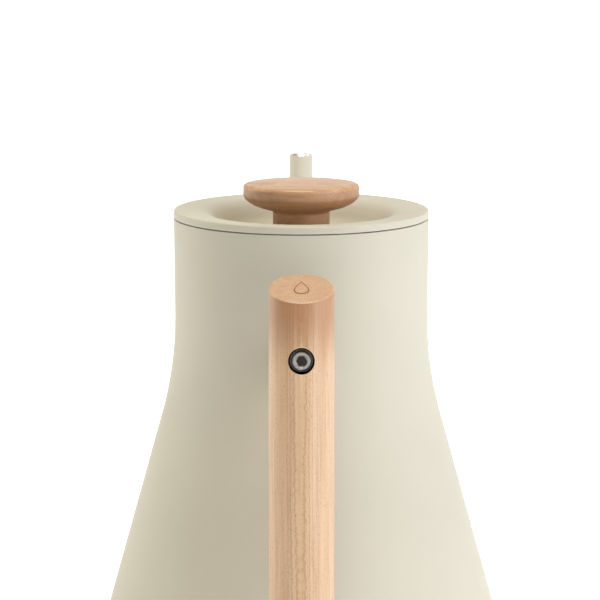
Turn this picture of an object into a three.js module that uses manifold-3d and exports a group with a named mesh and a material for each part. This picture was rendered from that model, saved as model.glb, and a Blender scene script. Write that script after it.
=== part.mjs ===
// A stovetop whistling kettle: a bell-shaped painted steel vessel with a slim gooseneck spout, a leaning round
// wooden handle bolted to a short steel arm, and a dished lift-off lid with a wooden knob and a steam whistle
// under it. Millimetres, +Z up. The origin is the centre of the base's flat underside. The spout points along
// +Y and the handle stands at -Y.
import * as THREE from "three";
import { mergeVertices } from "three/addons/utils/BufferGeometryUtils.js";
import Module from "manifold-3d";

const wasm = await Module();
wasm.setup();

// ---- Driving dimensions ----
const GAP = 0.3; // between faces that touch on the real kettle
const SEAM_Z = 209; // the line where lid and vessel meet
const SEAM_GAP = 0.25; // from that line to the metal above it and below it
const NECK_RADIUS = 60;
const SHELL_WALL = 1;
const FLARE_DEG = 15.85; // how far the flank leans from upright
const FLARE_CORNER_Z = 138.1; // where the neck's line and the flank's line would cross
const FLARE_RADIUS = 180; // the curve that joins them
const PAN_Z = 5; // the underside of the vessel's bottom pan
const PAN_CORNER_RADIUS = 8;
const BASE_RADIUS = 84.8; // the capped disc under the pan
const CAP_SHEET = 1;

const LID_HEIGHT = 3.5; // the lid's rim above the seam
const DISH_DEPTH = 13; // the lid's floor below its rim
const LID_SHEET = 1.2;
const PLUG_RADIUS = 54.6; // the lining's skirt, which goes down inside the neck
const LINER_FLOOR_Z = -14; // from the seam
const LINER_SHEET = 0.8;
const LINER_FLANGE_RADIUS = 58.3;

// Heights from the seam: the side's lower and upper ends and the crown.
const KNOB = {
  radius: 27.3,
  stemRadius: 13.4,
  sideLow: 10.5,
  underDepth: 8.8,
  sideHigh: 13.6,
  edge: 1.6,
  top: 16.1,
};

const HANDLE_RADIUS = 13.75;
const HANDLE_LEAN_DEG = 10.84; // its top leans towards the vessel
const HANDLE_ABOVE = 30.2; // from the bolt to the middle of the slanted top face
const HANDLE_BELOW = 124; // from the bolt to the square lower end
const HANDLE_TOP_CUT_DEG = 24.55; // how far the top face is from square
const BOLT = { y: -104.2, z: 162.8 }; // where the bolt crosses the handle's axis
const ARM_RADIUS = 9;
const ARM_WALL = 1.5;
const SCREW = { radius: 2.5, headRadius: 4.25, headHeight: 5, socketFlats: 4, socketDepth: 2.6 };
const COUNTERBORE = { radius: 5.5, depth: 8.4 };

const SPOUT = { rootRadius: 9.5, tipRadius: 6.15, wall: 1, rootZ: 58, sides: 16, steps: 34 };
const SPOUT_TIP = { y: 149, z: 222 }; // the tip is cut level here
const SPOUT_RISE = { y: 114.8, topY: 118.5, lowBend: 28, highBend: 48 }; // the upright run and its two bends

const WHISTLE = { radius: 10, wall: 0.8, height: 7, jetRadius: 1.9, tab: 6.4, rivetX: 13.6 };
const WHISTLE_Y = 29; // off centre, on the spout's side
const RIVET = { radius: 1.5, headRadius: 2.6, head: 1 };
const LARGE = 40; // sides of the large round parts
const SMALL = 24; // sides of the small ones

const rad = THREE.MathUtils.degToRad;
const flare = rad(FLARE_DEG);

// ---- Materials ----
const material = (color, roughness, metalness) => new THREE.MeshStandardMaterial({ color, roughness, metalness });
const paint = material(0xd3ccb9, 0.5, 0.1);
const handleWood = material(0xe0b48c, 0.55, 0);
const knobWood = material(0xc08a5e, 0.55, 0);
const steel = material(0xb9babb, 0.3, 1);
const darkSteel = material(0x7d7d80, 0.35, 1);
const aluminium = material(0xc9cbcc, 0.45, 1);
const brass = material(0xc8a35a, 0.35, 1);
const silicone = material(0x3c3c3c, 0.7, 0);

// ---- Geometry helpers ----
function pointsOf(list) {
  return list.map(([x, y]) => new THREE.Vector2(x, y));
}

// Points on an arc in a profile, from one angle to another, in degrees.
function arc(x, y, radius, from, to, steps) {
  return Array.from({ length: steps + 1 }, (_, i) => {
    const angle = rad(from + ((to - from) * i) / steps);
    return [x + radius * Math.cos(angle), y + radius * Math.sin(angle)];
  });
}

// A solid turned about Z from a profile of [radius, height] points that runs counterclockwise. A profile off
// the axis is closed on itself, which makes a ring.
function turned(profile, sides = LARGE) {
  const onAxis = profile[0][0] === 0;
  const points = pointsOf(onAxis ? profile : [...profile, profile[0]]);
  return new THREE.LatheGeometry(points, sides).rotateX(Math.PI / 2);
}

function disc(radius, low, high, sides = SMALL) {
  return turned([[0, low], [radius, low], [radius, high], [0, high]], sides);
}

function ring(inner, outer, low, high, sides = SMALL) {
  return turned([[inner, low], [outer, low], [outer, high], [inner, high]], sides);
}

function box(low, high) {
  const size = high.map((value, i) => value - low[i]);
  const middle = high.map((value, i) => (value + low[i]) / 2);
  return new THREE.BoxGeometry(...size).translate(...middle);
}

// A cylinder about Z becomes one about Y.
function alongY(geometry) {
  return geometry.rotateX(-Math.PI / 2);
}

function solidOf(geometry) {
  const bare = new THREE.BufferGeometry().setAttribute("position", geometry.getAttribute("position"));
  bare.setIndex(geometry.index);
  const merged = mergeVertices(bare, 1e-4);
  return new wasm.Manifold(
    new wasm.Mesh({
      numProp: 3,
      vertProperties: merged.attributes.position.array,
      triVerts: new Uint32Array(merged.index.array),
    }),
  );
}

function geometryOf(solid) {
  const mesh = solid.getMesh();
  return new THREE.BufferGeometry()
    .setAttribute("position", new THREE.BufferAttribute(mesh.vertProperties, 3))
    .setIndex(new THREE.BufferAttribute(mesh.triVerts, 1))
    .toNonIndexed();
}

function cut(geometry, ...tools) {
  return geometryOf(tools.reduce((left, tool) => left.subtract(solidOf(tool)), solidOf(geometry)));
}

function common(a, b) {
  return geometryOf(solidOf(a).intersect(solidOf(b)));
}

function node(name, geometry, finish, parent) {
  geometry.computeVertexNormals();
  const mesh = new THREE.Mesh(geometry, finish);
  mesh.name = name;
  parent.add(mesh);
  return mesh;
}

// ---- The vessel's outline, drawn in by a distance from its outside ----
function flankRadius(z) {
  return NECK_RADIUS + (FLARE_CORNER_Z - z) * Math.tan(flare);
}

const cornerZ = PAN_Z + PAN_CORNER_RADIUS;
const cornerX = flankRadius(cornerZ) - PAN_CORNER_RADIUS / Math.cos(flare);

function panCorner(inset) {
  return arc(cornerX, cornerZ, PAN_CORNER_RADIUS - inset, -90, FLARE_DEG, 4);
}

function flareCurve(inset) {
  const z = FLARE_CORNER_Z + FLARE_RADIUS * Math.tan(flare / 2);
  return arc(NECK_RADIUS + FLARE_RADIUS, z, FLARE_RADIUS + inset, 180 + FLARE_DEG, 180, 5);
}

// Everything inside the vessel's outside, drawn in by a distance, as a cutter.
function filledVessel(inset) {
  const side = [...panCorner(inset), ...flareCurve(inset), [NECK_RADIUS - inset, SEAM_Z]];
  return turned([[0, PAN_Z + inset], ...side, [0, SEAM_Z]]);
}

const kettle = new THREE.Group();
const lid = new THREE.Group();
lid.position.z = SEAM_Z;
const handle = new THREE.Group();
handle.position.set(0, BOLT.y, BOLT.z);
handle.rotation.x = -rad(HANDLE_LEAN_DEG);
kettle.add(lid, handle);

// ---- Spout: one tapered tube, bent, with its tip cut level, in a collar on the flank ----
const rootOut = new THREE.Vector2(Math.cos(flare), Math.sin(flare)); // square to the flank, in Y and Z
const root = new THREE.Vector2(flankRadius(SPOUT.rootZ), SPOUT.rootZ);

// A line through corners that are rounded by bends, as points in Y and Z.
function roundedLine(corners, bends, stepsPerBend = 8) {
  const points = [corners[0]];
  bends.forEach((radius, i) => {
    const corner = corners[i + 1];
    const before = corners[i].clone().sub(corner).normalize();
    const after = corners[i + 2].clone().sub(corner).normalize();
    const half = before.angleTo(after) / 2;
    const centre = before.clone().add(after).setLength(radius / Math.sin(half)).add(corner);
    const start = before.clone().multiplyScalar(radius / Math.tan(half)).add(corner).sub(centre);
    const side = Math.sign(after.cross(before));
    for (let step = 0; step <= stepsPerBend; step++) {
      const turn = (side * (Math.PI - 2 * half) * step) / stepsPerBend;
      points.push(start.clone().rotateAround(new THREE.Vector2(), turn).add(centre));
    }
  });
  return [...points, corners.at(-1)];
}

const lowCorner = root.clone().addScaledVector(rootOut, (SPOUT_RISE.y - root.x) / rootOut.x);
const highCorner = new THREE.Vector2(SPOUT_RISE.topY, SPOUT_TIP.z - (SPOUT_TIP.y - SPOUT_RISE.topY));
const pastTip = new THREE.Vector2(SPOUT_TIP.y + 12, SPOUT_TIP.z + 12);
const beforeRoot = root.clone().addScaledVector(rootOut, -6);
const spoutCorners = [beforeRoot, lowCorner, highCorner, pastTip];
const spoutPoints = roundedLine(spoutCorners, [SPOUT_RISE.lowBend, SPOUT_RISE.highBend]);
const spoutLine = new THREE.CatmullRomCurve3(
  spoutPoints.map(({ x, y }) => new THREE.Vector3(0, x, y)),
  false,
  "centripetal",
);

// A solid turned about Z, with its height given as a share of the spout's line, is bent along that line.
function bentAlongSpout(geometry) {
  const position = geometry.getAttribute("position");
  for (let i = 0; i < position.count; i++) {
    const share = THREE.MathUtils.clamp(position.getZ(i), 0, 1);
    const centre = spoutLine.getPointAt(share);
    const along = spoutLine.getTangentAt(share);
    const out = position.getY(i);
    position.setXYZ(i, position.getX(i), centre.y + out * along.z, centre.z - out * along.y);
  }
  return geometry;
}

function spoutRadiusAt(share) {
  return SPOUT.tipRadius + (SPOUT.rootRadius - SPOUT.tipRadius) * (1 - share) ** 2;
}

function spoutSide(inset) {
  return Array.from({ length: SPOUT.steps + 1 }, (_, i) => {
    const share = i / SPOUT.steps;
    return [spoutRadiusAt(share) - inset, share];
  });
}

const spoutBlank = bentAlongSpout(turned([...spoutSide(0), ...spoutSide(SPOUT.wall).reverse()], SPOUT.sides));
const aboveTip = box([-20, 90, SPOUT_TIP.z], [20, 190, SPOUT_TIP.z + 30]);
node("spout_tube", cut(spoutBlank, aboveTip, filledVessel(-GAP)), paint, kettle);

function atSpoutRoot(geometry) {
  return alongY(geometry).rotateX(flare).translate(0, root.x, root.y);
}

const COLLAR = { radius: SPOUT.rootRadius + 3.6, length: 7 };
const collar = turned(
  [
    [0, -6],
    [COLLAR.radius, -6],
    [COLLAR.radius, 1.2],
    [COLLAR.radius - 1.2, 2.2],
    [COLLAR.radius - 2, 4],
    [SPOUT.rootRadius + 0.9, COLLAR.length],
    [0, COLLAR.length],
  ],
  SMALL,
);
const collarBore = bentAlongSpout(turned([[0, 0], ...spoutSide(-GAP), [0, 1]], SPOUT.sides));
node("spout_collar", cut(atSpoutRoot(collar), filledVessel(-GAP), collarBore), paint, kettle);

// ---- Vessel ----
const spoutHole = atSpoutRoot(disc(SPOUT.rootRadius - SPOUT.wall, -20, 20));
const shellTop = SEAM_Z - SEAM_GAP;

// The shell's lower edge, where it is welded to the pan's rim.
function weldPoint(inset) {
  const [r, z] = panCorner(inset).at(-1);
  return [r - GAP * Math.sin(flare), z + GAP * Math.cos(flare)];
}

const shell = turned([
  weldPoint(0),
  ...flareCurve(0),
  [NECK_RADIUS, shellTop],
  [NECK_RADIUS - SHELL_WALL, shellTop],
  ...flareCurve(SHELL_WALL).reverse(),
  weldPoint(SHELL_WALL),
]);
node("body_shell", cut(shell, spoutHole), paint, kettle);

// The collar inside the mouth, with the ledge that the lid's seal sits on.
const neckOuter = NECK_RADIUS - SHELL_WALL - GAP;
node(
  "neck_ring",
  turned([
    [neckOuter - 3.2, SEAM_Z - 12],
    [neckOuter - 0.6, SEAM_Z - 12],
    [neckOuter, SEAM_Z - 11.4],
    [neckOuter, SEAM_Z - 1.4],
    [neckOuter - 1, SEAM_Z - 1.4],
    [neckOuter - 1, SEAM_Z - 11],
    [neckOuter - 3.2, SEAM_Z - 11],
  ]),
  steel,
  kettle,
);

// The sealed base: a pan with a rounded rim, an aluminium disc under it and a steel cap.
const panProfile = [[0, PAN_Z], ...panCorner(0), ...panCorner(SHELL_WALL).reverse(), [0, PAN_Z + SHELL_WALL]];
node("base_pan", turned(panProfile), paint, kettle);
const capInner = BASE_RADIUS - CAP_SHEET;
node("heat_spreader", disc(capInner - GAP, CAP_SHEET + GAP, PAN_Z - GAP, LARGE), aluminium, kettle);
node(
  "base_cap",
  turned([
    [0, 0],
    [capInner, 0],
    [BASE_RADIUS, CAP_SHEET],
    [BASE_RADIUS, PAN_Z - GAP],
    [capInner, PAN_Z - GAP],
    [capInner, CAP_SHEET],
    [0, CAP_SHEET],
  ]),
  darkSteel,
  kettle,
);

// ---- Handle: in its own group the rod stands along Z and the bolt lies along Y, towards the vessel ----
const topFace = box([-30, -40, 0], [30, 40, 60]).rotateX(rad(HANDLE_TOP_CUT_DEG)).translate(0, 0, HANDLE_ABOVE);
const rodBlank = turned(
  [
    [0, -HANDLE_BELOW],
    [HANDLE_RADIUS - 1, -HANDLE_BELOW],
    [HANDLE_RADIUS, 1 - HANDLE_BELOW],
    [HANDLE_RADIUS, HANDLE_ABOVE + 10],
    [0, HANDLE_ABOVE + 10],
  ],
  32,
);
const boreSeatY = COUNTERBORE.depth - HANDLE_RADIUS; // where the washer lies
const counterbore = alongY(disc(COUNTERBORE.radius, -HANDLE_RADIUS - 5, boreSeatY));
const clearance = alongY(disc(SCREW.radius + GAP, -HANDLE_RADIUS, HANDLE_RADIUS + 5));
node("handle_rod", cut(rodBlank, topFace, counterbore, clearance), handleWood, handle);

const washerOuter = COUNTERBORE.radius - 0.5;
const washerY = boreSeatY - GAP;
node("handle_washer", alongY(ring(SCREW.radius + GAP, washerOuter, washerY - 1, washerY)), darkSteel, handle);

function socketScrew(length) {
  const { radius, headRadius, headHeight, socketFlats, socketDepth } = SCREW;
  const body = turned(
    [
      [0, -headHeight],
      [headRadius - 0.5, -headHeight],
      [headRadius, 0.5 - headHeight],
      [headRadius, 0],
      [radius, 0],
      [radius, length - 0.5],
      [radius - 0.5, length],
      [0, length],
    ],
    SMALL,
  );
  const socket = disc(socketFlats / Math.sqrt(3), -headHeight - 1, socketDepth - headHeight, 6);
  return cut(body, socket);
}

const headSeatY = washerY - 1 - GAP;
const SCREW_LENGTH = 34;
node("handle_screw", alongY(socketScrew(SCREW_LENGTH)).translate(0, headSeatY, 0), darkSteel, handle);

// The arm is a tube, coped round the rod at one end and to the neck at the other.
const rodSocket = turned([[0, -20], [HANDLE_RADIUS + GAP, -20], [HANDLE_RADIUS + GAP, 20], [0, 20]], 32);
handle.updateMatrix();
const intoHandle = handle.matrix.clone().invert();
const neckCutter = filledVessel(-GAP).applyMatrix4(intoHandle);
const ARM_REACH = 60;
const PLUG_LENGTH = 13;
const armTube = alongY(ring(ARM_RADIUS - ARM_WALL, ARM_RADIUS, 0, ARM_REACH));
node("handle_arm", cut(armTube, rodSocket, neckCutter), paint, handle);
const plugEnd = HANDLE_RADIUS + GAP + PLUG_LENGTH;
const plugBlank = alongY(ring(SCREW.radius + GAP, ARM_RADIUS - ARM_WALL - GAP, 0, plugEnd));
node("arm_plug", cut(plugBlank, rodSocket), steel, handle);

// A curved plate inside the neck spreads the arm's load.
const armFootZ = BOLT.z + (BOLT.y + NECK_RADIUS) * Math.tan(rad(HANDLE_LEAN_DEG));
const doublerBand = ring(neckOuter - 1, neckOuter, armFootZ, SEAM_Z - 25, LARGE);
const doublerSide = box([-15, -70, armFootZ - 30], [15, -40, SEAM_Z]);
node("arm_doubler", common(doublerBand, doublerSide), steel, kettle);

// ---- Lid: heights from here on are from the seam ----
const rimTop = LID_HEIGHT;
const floorTop = rimTop - DISH_DEPTH;
// The dish as [radius, depth below the rim]: a nearly level rim, a soft shoulder and a flat floor.
const DISH = [
  [28, DISH_DEPTH],
  [33, 11.9],
  [36.6, 9.4],
  [39.4, 5.8],
  [42.2, 2.8],
  [46, 1.1],
  [NECK_RADIUS - 1.2, 0.1],
];
const dishTop = DISH.map(([r, depth]) => [r, rimTop - depth]);
const dishUnder = DISH.slice(0, -1).map(([r, depth]) => [r + 0.6, rimTop - depth - LID_SHEET]);
const coverBlank = turned([
  [0, floorTop - LID_SHEET],
  ...dishUnder,
  [NECK_RADIUS - LID_SHEET - 0.4, rimTop - LID_SHEET - 0.3],
  [NECK_RADIUS - LID_SHEET, SEAM_GAP],
  [NECK_RADIUS, SEAM_GAP],
  ...arc(NECK_RADIUS - 0.9, rimTop - 0.9, 0.9, 0, 90, 2),
  ...dishTop.reverse(),
  [0, floorTop],
]);
const KNOB_HOLE = SCREW.radius + GAP;
const knobHole = disc(KNOB_HOLE, -30, 10);
const VENT = { radius: 1.6, ring: 21, count: 5, spreadDeg: 34 };
// Steam leaves through a row of small holes behind the knob, on the spout's side.
const vents = Array.from({ length: VENT.count }, (_, i) => {
  const angle = rad(90 + (i - (VENT.count - 1) / 2) * VENT.spreadDeg);
  const place = [VENT.ring * Math.cos(angle), VENT.ring * Math.sin(angle), 0];
  return disc(VENT.radius, floorTop - 5, floorTop + 5, 10).translate(...place);
});
node("lid_cover", cut(coverBlank, knobHole, ...vents), paint, lid);

const linerTop = 1.35;
const linerFloor = LINER_FLOOR_Z;
const SEAL = { low: -10.7, high: -6.7, outer: neckOuter - 1 - 0.3, inner: PLUG_RADIUS + GAP };
const whistleHole = disc(WHISTLE.radius - 3, -30, 10).translate(0, WHISTLE_Y, 0);
const linerBlank = turned([
  [0, linerFloor],
  [PLUG_RADIUS - 2, linerFloor],
  [PLUG_RADIUS, linerFloor + 2],
  [PLUG_RADIUS, linerTop - LINER_SHEET],
  [LINER_FLANGE_RADIUS, linerTop - LINER_SHEET],
  [LINER_FLANGE_RADIUS, linerTop],
  [PLUG_RADIUS - LINER_SHEET, linerTop],
  [PLUG_RADIUS - LINER_SHEET, linerFloor + 2],
  [PLUG_RADIUS - 2, linerFloor + LINER_SHEET],
  [0, linerFloor + LINER_SHEET],
]);
const whistleRivets = [-1, 1].map((side) => ({ x: side * WHISTLE.rivetX, y: WHISTLE_Y }));
const rivetHoles = whistleRivets.map(({ x, y }) => disc(RIVET.radius + GAP, -20, 5, 12).translate(x, y, linerFloor));
node("lid_liner", cut(linerBlank, knobHole, whistleHole, ...rivetHoles), steel, lid);

// The seal has one thin lip that bends against the neck.
node(
  "lid_gasket",
  turned([
    [SEAL.inner, SEAL.low],
    [SEAL.outer - 0.6, SEAL.low],
    [SEAL.outer, SEAL.low + 0.8],
    [SEAL.outer, SEAL.low + 1.6],
    [SEAL.outer - 1.2, SEAL.low + 2.2],
    [SEAL.outer - 1.2, SEAL.high],
    [SEAL.inner, SEAL.high],
  ]),
  silicone,
  lid,
);

// ---- Knob and what holds it ----
const WASHER_SHEET = 0.8;
const knobFoot = floorTop + WASHER_SHEET + 2 * GAP;
const INSERT = { radius: 4, depth: 14 };
const stemAngle = THREE.MathUtils.radToDeg(Math.acos(KNOB.stemRadius / KNOB.radius));
const underside = arc(0, 0, 1, -stemAngle, 0, 5).map(([x, y]) => [
  KNOB.radius * x,
  KNOB.sideLow + KNOB.underDepth * y,
]);
const knobBlank = turned(
  [
    [0, knobFoot],
    [KNOB.stemRadius, knobFoot],
    ...underside,
    ...arc(KNOB.radius - KNOB.edge, KNOB.sideHigh, KNOB.edge, 0, 80, 2),
    [KNOB.radius * 0.6, KNOB.top - 0.25],
    [0, KNOB.top],
  ],
  32,
);
const insertSocket = disc(INSERT.radius + GAP, knobFoot - 5, knobFoot + INSERT.depth);
node("knob", cut(knobBlank, insertSocket), knobWood, lid);
const insertTop = knobFoot + INSERT.depth - GAP;
node("knob_insert", ring(KNOB_HOLE, INSERT.radius, knobFoot, insertTop), brass, lid);
node("knob_washer", ring(KNOB_HOLE, KNOB.stemRadius - 1.5, floorTop + GAP, knobFoot - GAP), silicone, lid);

const spacerLow = linerFloor + LINER_SHEET + GAP;
node("knob_spacer", ring(KNOB_HOLE, 5, spacerLow, floorTop - LID_SHEET - GAP), steel, lid);
const sealLow = linerFloor - GAP - 1;
node("knob_screw_seal", ring(KNOB_HOLE, 5.5, sealLow, linerFloor - GAP), silicone, lid);
const knobScrewLength = insertTop - 1 - (sealLow - GAP);
const knobScrewBlank = turned(
  [
    [0, -3.2],
    [2.8, -3.2],
    [4.4, -2.2],
    [4.75, 0],
    [SCREW.radius, 0],
    [SCREW.radius, knobScrewLength],
    [0, knobScrewLength],
  ],
  SMALL,
);
const crossSlot = [box([-2.4, -0.5, -5], [2.4, 0.5, -1.4]), box([-0.5, -2.4, -5], [0.5, 2.4, -1.4])];
node("knob_screw", cut(knobScrewBlank, ...crossSlot).translate(0, 0, sealLow - GAP), steel, lid);

// ---- Whistle: steam jets through one small hole and sings across a second, a chamber's height above it ----
const whistle = new THREE.Group();
whistle.position.set(0, WHISTLE_Y, linerFloor - GAP);
lid.add(whistle);
const cupInner = WHISTLE.radius - WHISTLE.wall;
const cup = turned(
  [
    [0, -WHISTLE.height],
    [WHISTLE.radius - 0.8, -WHISTLE.height],
    [WHISTLE.radius, 0.8 - WHISTLE.height],
    [WHISTLE.radius, 0],
    [0, 0],
  ],
  SMALL,
);
const tabX = WHISTLE.rivetX + WHISTLE.tab / 2;
const tabs = box([-tabX, -WHISTLE.tab / 2, -WHISTLE.wall], [tabX, WHISTLE.tab / 2, 0]);
const cupHollow = disc(cupInner, WHISTLE.wall - WHISTLE.height, 2);
const whistleHoles = whistleRivets.map(({ x }) => disc(RIVET.radius + GAP, -20, 5, 12).translate(x, 0, 0));
const cupBlank = geometryOf(solidOf(cup).add(solidOf(tabs)));
const jet = disc(WHISTLE.jetRadius, -20, 5, 16);
node("whistle_cup", cut(cupBlank, cupHollow, jet, ...whistleHoles), brass, whistle);
node("whistle_plate", ring(WHISTLE.jetRadius, cupInner - GAP, -WHISTLE.wall - GAP, -GAP), brass, whistle);

// Two rivets hold the cup's ears to the lining.
const rivetTop = GAP + LINER_SHEET + GAP;
const rivetLow = -WHISTLE.wall - GAP;
whistleRivets.forEach(({ x }, i) => {
  const rivet = turned(
    [
      [0, rivetLow - RIVET.head],
      [RIVET.headRadius - 0.5, rivetLow - RIVET.head],
      [RIVET.headRadius, rivetLow],
      [RIVET.radius, rivetLow],
      [RIVET.radius, rivetTop],
      [RIVET.headRadius, rivetTop],
      [RIVET.headRadius - 0.3, rivetTop + RIVET.head],
      [0, rivetTop + RIVET.head],
    ],
    12,
  );
  node(`whistle_rivet_${i + 1}`, rivet.translate(x, 0, 0), steel, whistle);
});

export default kettle;
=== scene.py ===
"""Looks for the stovetop whistling kettle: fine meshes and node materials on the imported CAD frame."""
import math

import bmesh
import bpy
from mathutils import Matrix, Vector


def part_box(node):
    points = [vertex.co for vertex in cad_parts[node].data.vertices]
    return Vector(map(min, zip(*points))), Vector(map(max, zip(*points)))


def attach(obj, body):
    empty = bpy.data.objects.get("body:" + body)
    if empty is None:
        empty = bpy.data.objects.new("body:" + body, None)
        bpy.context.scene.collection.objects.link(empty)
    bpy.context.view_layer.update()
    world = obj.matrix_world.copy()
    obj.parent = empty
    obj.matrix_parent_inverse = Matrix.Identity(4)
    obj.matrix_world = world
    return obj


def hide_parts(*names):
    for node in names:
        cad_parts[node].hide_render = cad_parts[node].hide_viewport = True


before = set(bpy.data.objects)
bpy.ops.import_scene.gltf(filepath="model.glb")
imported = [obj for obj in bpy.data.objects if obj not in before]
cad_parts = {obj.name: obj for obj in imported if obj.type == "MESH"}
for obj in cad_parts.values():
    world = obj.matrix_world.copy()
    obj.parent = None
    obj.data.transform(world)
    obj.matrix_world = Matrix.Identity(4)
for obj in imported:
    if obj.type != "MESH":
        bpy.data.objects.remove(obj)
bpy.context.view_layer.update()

MM = 0.001  # shapes below are worked out in millimetres


# ---------------------------------------------------------------- sizes, from the frame where it gives them
def node_box(name):
    """A CAD node's lowest and highest corners, in millimetres."""
    low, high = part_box(name)
    return low / MM, high / MM


SHELL_HIGH = node_box("body_shell")[1]
COVER_HIGH = node_box("lid_cover")[1]
LINER_LOW, LINER_HIGH = node_box("lid_liner")
GASKET_LOW, GASKET_HIGH = node_box("lid_gasket")
RING_LOW, RING_HIGH = node_box("neck_ring")
PAN_LOW = node_box("base_pan")[0]
CAP_HIGH = node_box("base_cap")[1]
KNOB_LOW, KNOB_HIGH = node_box("knob")
KNOB_SCREW_LOW, KNOB_SCREW_HIGH = node_box("knob_screw")
SEAL_LOW, SEAL_HIGH = node_box("knob_screw_seal")
ROD_HIGH = node_box("handle_rod")[1]
ARM_HIGH = node_box("handle_arm")[1]
SPOUT_HIGH = node_box("spout_tube")[1]
CUP_LOW, CUP_HIGH = node_box("whistle_cup")
PLATE_LOW, PLATE_HIGH = node_box("whistle_plate")

SEAM_Z = COVER_HIGH.z - 3.5  # where the lid's upright rim meets the shell
NECK_R = COVER_HIGH.x
WALL = 1.0  # the thickness of the vessel's sheet and of the spout
FLARE = math.radians(15.85)  # the flank's lean
FLARE_CORNER_Z = SEAM_Z - 70.9  # where the flank's straight line would meet the neck's
FLARE_R = 180.0  # the curve between the two
PAN_CORNER_R = 8.0
WELD_GAP = 0.12  # the line between shell and pan, and between lid and shell

HANDLE_R = ROD_HIGH.x
HANDLE_LEAN = math.radians(10.84)
HANDLE_CUT = math.radians(24.55)  # the slant of the rod's top face
HANDLE_ABOVE = 30.2  # from the bolt up to the middle of that face
HANDLE_BELOW = 124.0
BOLT = Vector((0, -104.2, SEAM_Z - 46.2))  # where the bolt's axis crosses the rod's
BORE_R = 5.5
BORE_DEPTH = 8.4
ARM_R = ARM_HIGH.x
ARM_WALL = 1.5

SPOUT_ROOT_Z = 58.0
SPOUT_ROOT_R = 9.5
SPOUT_TIP_R = 6.15
SPOUT_TIP = (149.0, SPOUT_HIGH.z)
SPOUT_RISE = (114.8, 118.5)  # how far out the steep stretch starts and ends
SPOUT_BENDS = (28.0, 48.0)

WHISTLE_Y = 29.0
RIVET_X = 13.6
LINER_HOLE_R = 2.8  # for the knob's screw, in the lining and in the cover


# ---------------------------------------------------------------- outlines
def arc(x, y, radius, start, end, steps):
    """Points of an arc, with its angles in degrees."""
    angles = (math.radians(start + (end - start) * i / steps) for i in range(steps + 1))
    return [(x + radius * math.cos(a), y + radius * math.sin(a)) for a in angles]


def rounded(corners, closed=True, steps=5):
    """An outline of (x, y, radius) corners, with each corner turned into an arc of that radius."""
    points = []
    count = len(corners)
    for i, (x, y, radius) in enumerate(corners):
        here = Vector((x, y))
        end = not closed and i in (0, count - 1)
        if radius <= 0 or end:
            points.append((x, y))
            continue
        before = (Vector(corners[i - 1][:2]) - here).normalized()
        after = (Vector(corners[(i + 1) % count][:2]) - here).normalized()
        half = before.angle(after) / 2
        if half > math.radians(89.5):
            points.append((x, y))
            continue
        centre = here + (before + after).normalized() * (radius / math.sin(half))
        start = here + before * (radius / math.tan(half)) - centre
        stop = here + after * (radius / math.tan(half)) - centre
        turn = start.angle_signed(stop)
        for step in range(steps + 1):
            point = Matrix.Rotation(-turn * step / steps, 2) @ start + centre
            points.append((point.x, point.y))
    return points


def smooth_line(points, steps=8):
    """A smooth curve through points of any size."""
    points = [Vector(p) for p in points]
    first = points[0] * 2 - points[1]
    last = points[-1] * 2 - points[-2]
    padded = [first, *points, last]
    line = []
    for a, b, c, d in zip(padded, padded[1:], padded[2:], padded[3:]):
        for i in range(steps):
            t = i / steps
            bend = (2 * a - 5 * b + 4 * c - d) * t**2
            twist = (3 * b - 3 * c + d - a) * t**3
            line.append((2 * b + (c - a) * t + bend + twist) / 2)
    return line + [points[-1]]


# ---------------------------------------------------------------- meshes
def make_piece(name, verts, faces, body, material, stands_for=(), sharp=32):
    """A closed mesh of points in millimetres, as a piece that rides on a CAD body."""
    mesh = bpy.data.meshes.new(name)
    mesh.from_pydata([Vector(v) * MM for v in verts], [], faces)
    bm = bmesh.new()
    bm.from_mesh(mesh)
    bmesh.ops.remove_doubles(bm, verts=bm.verts, dist=1e-7)
    bmesh.ops.recalc_face_normals(bm, faces=bm.faces)
    bm.to_mesh(mesh)
    bm.free()
    piece = bpy.data.objects.new(name, mesh)
    bpy.context.scene.collection.objects.link(piece)
    mesh.materials.append(material)
    finish_shading(piece, sharp)
    if stands_for:
        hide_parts(*stands_for)
    if body:
        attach(piece, body)
    return piece


def finish_shading(piece, sharp=32):
    mesh = piece.data
    mesh.polygons.foreach_set("use_smooth", [True] * len(mesh.polygons))
    mesh.set_sharp_from_angle(angle=math.radians(sharp))


def grid_faces(rows, columns, wrap_rows):
    """Quads between rings of points, each ring with the same number of points."""
    faces = []
    for row in range(rows if wrap_rows else rows - 1):
        here = row * columns
        above = (row + 1) % rows * columns
        for i in range(columns):
            j = (i + 1) % columns
            faces.append((here + i, here + j, above + j, above + i))
    return faces


def ring_of(radius, sides, z=0.0):
    """Points round Z at one height."""
    angles = (2 * math.pi * i / sides for i in range(sides))
    return [Vector((radius * math.cos(a), radius * math.sin(a), z)) for a in angles]


def turned(outline, sides, to_place=None):
    """Points and faces of a solid turned about Z. An outline that starts on the axis ends there too,
    and any other closes on itself."""
    on_axis = outline[0][0] == 0
    rows = outline[1:-1] if on_axis else outline
    verts = [point for radius, z in rows for point in ring_of(radius, sides, z)]
    faces = grid_faces(len(rows), sides, not on_axis)
    if on_axis:
        for pole_z, row in ((outline[0][1], 0), (outline[-1][1], len(rows) - 1)):
            verts.append(Vector((0, 0, pole_z)))
            pole = len(verts) - 1
            faces += [(pole, row * sides + i, row * sides + (i + 1) % sides) for i in range(sides)]
    if to_place is not None:
        verts = [to_place @ v for v in verts]
    return verts, faces


def turned_piece(name, outline, body, material, stands_for, sides, to_place=None):
    verts, faces = turned(outline, sides, to_place)
    return make_piece(name, verts, faces, body, material, stands_for)


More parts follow.
